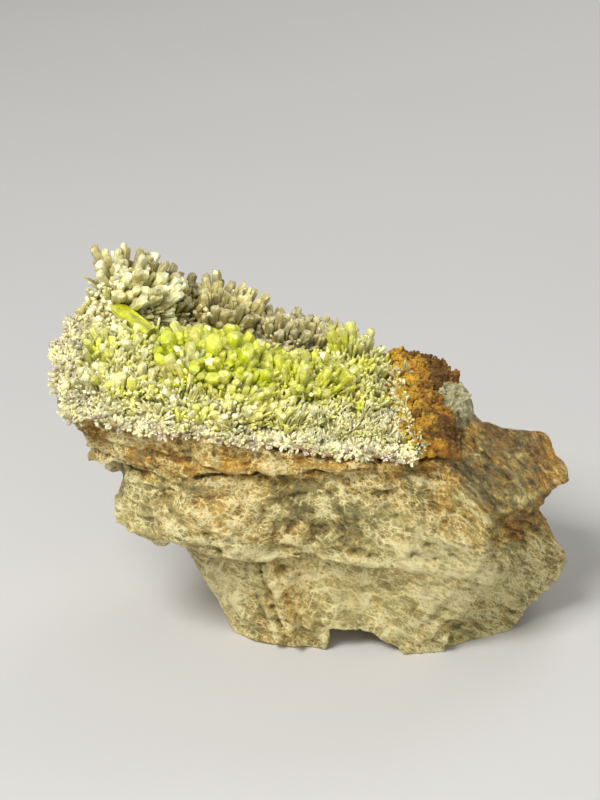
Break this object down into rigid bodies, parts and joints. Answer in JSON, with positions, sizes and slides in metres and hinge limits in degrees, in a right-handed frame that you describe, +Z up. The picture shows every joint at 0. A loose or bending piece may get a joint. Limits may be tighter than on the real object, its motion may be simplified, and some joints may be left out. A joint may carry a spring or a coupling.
{
  "type": "pyromorphite on matrix specimen",
  "caption": "Hand specimen of green pyromorphite crystals on foliated rock, with a limonite cap and a quartz knob; it rests on its flat underside.",
  "frame": {"origin": "centre of the bounding box in plan, at the flat underside that the specimen stands on", "axes": "+X towards the quartz and the low lobe, along the longest side; +Z up; -Y out of the broken front face"},
  "size_m": [0.0878, 0.0477, 0.0595],
  "materials": {
    "rock": "foliated, satin, with ochre and cream veinlets",
    "pyromorphite": "glossy translucent crystals, lime green to pale yellow-green",
    "limonite": "matte, granular, orange-brown",
    "quartz": "glassy, translucent, pale grey-green"
  },
  "bodies": {
    "root": {"matrix_rock": "rock", "pyromorphite_crust": "pyromorphite", "limonite_crust": "limonite", "quartz_knob": "quartz"}
  },
  "joints": []
}
